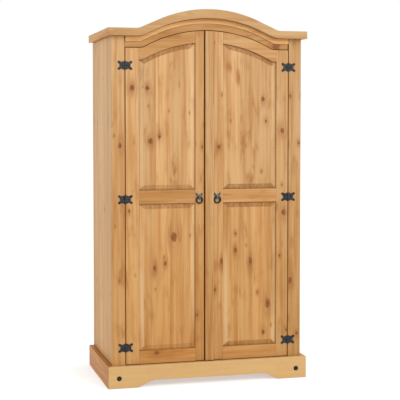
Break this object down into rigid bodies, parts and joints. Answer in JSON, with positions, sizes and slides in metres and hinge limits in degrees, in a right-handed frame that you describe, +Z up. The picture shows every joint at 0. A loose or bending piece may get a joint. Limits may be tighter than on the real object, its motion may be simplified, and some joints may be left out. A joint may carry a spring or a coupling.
{
  "type": "wardrobe with doors",
  "caption": "Pine wardrobe with an arched cornice, hinged panelled doors with ring pulls, a hanging rail, a shelf and a plinth.",
  "frame": {"origin": "on the floor, below the centre of the bounding box", "axes": "+Z up, +X to the right seen from the front, +Y to the back, so the doors face -Y"},
  "size_m": [1.04, 0.587, 1.8889],
  "materials": {
    "pine": "waxed honey pine with visible grain and knots",
    "pale_pine": "waxed pale pine boards",
    "plywood": "unfinished birch-faced plywood",
    "black_iron": "black lacquered iron, satin",
    "steel": "bright zinc-plated steel",
    "catch_plastic": "brown moulded plastic"
  },
  "bodies": {
    "carcass": {"left_side_panel": "pale_pine", "right_side_panel": "pale_pine", "left_face_stile": "pine", "right_face_stile": "pine", "floor_panel": "pine", "top_panel": "pine", "back_muntin": "pine", "back_panels": "plywood", "top_shelf": "pine", "shelf_cleats": "pine", "rail_sockets": "steel", "hanging_rail": "steel", "header_board": "pine", "header_arch_rail": "pine", "cornice_front": "pine", "cornice_left": "pine", "cornice_right": "pine", "plinth_front": "pine", "plinth_left": "pine", "plinth_right": "pine", "plinth_back": "pine", "plinth_studs": "black_iron", "magnetic_catches": "catch_plastic", "hinge_pins": "black_iron", "frame_screws": "black_iron", "left_top_hinge_frame_leaf": "black_iron", "left_middle_hinge_frame_leaf": "black_iron", "left_bottom_hinge_frame_leaf": "black_iron", "right_top_hinge_frame_leaf": "black_iron", "right_middle_hinge_frame_leaf": "black_iron", "right_bottom_hinge_frame_leaf": "black_iron"},
    "left_door": {"left_door_hinge_stile": "pine", "left_door_meeting_stile": "pine", "left_door_top_rail": "pine", "left_door_mid_rail": "pine", "left_door_bottom_rail": "pine", "left_door_upper_panel": "pine", "left_door_lower_panel": "pine", "left_top_hinge_door_leaf": "black_iron", "left_middle_hinge_door_leaf": "black_iron", "left_bottom_hinge_door_leaf": "black_iron", "left_strike_plate": "steel", "left_handle_plate": "black_iron", "left_door_screws": "black_iron"},
    "right_door": {"right_door_hinge_stile": "pine", "right_door_meeting_stile": "pine", "right_door_top_rail": "pine", "right_door_mid_rail": "pine", "right_door_bottom_rail": "pine", "right_door_upper_panel": "pine", "right_door_lower_panel": "pine", "right_top_hinge_door_leaf": "black_iron", "right_middle_hinge_door_leaf": "black_iron", "right_bottom_hinge_door_leaf": "black_iron", "right_strike_plate": "steel", "right_handle_plate": "black_iron", "right_door_screws": "black_iron", "closing_strip": "pine"},
    "left_ring": {"left_ring": "black_iron"},
    "right_ring": {"right_ring": "black_iron"}
  },
  "joints": [
    {"name": "left_door_hinge", "type": "hinge", "parent": "carcass", "child": "left_door", "pos_m": [-0.42675, -0.2633, 0.94], "axis": [0, 0, -1], "range_deg": [0, 175]},
    {"name": "right_door_hinge", "type": "hinge", "parent": "carcass", "child": "right_door", "pos_m": [0.42675, -0.2633, 0.94], "axis": [0, 0, 1], "range_deg": [0, 175]},
    {"name": "left_ring_swing", "type": "hinge", "parent": "left_door", "child": "left_ring", "pos_m": [-0.0473, -0.2661, 0.946], "axis": [-1, 0, 0], "range_deg": [0, 170]},
    {"name": "right_ring_swing", "type": "hinge", "parent": "right_door", "child": "right_ring", "pos_m": [0.0473, -0.2661, 0.946], "axis": [-1, 0, 0], "range_deg": [0, 170]}
  ]
}
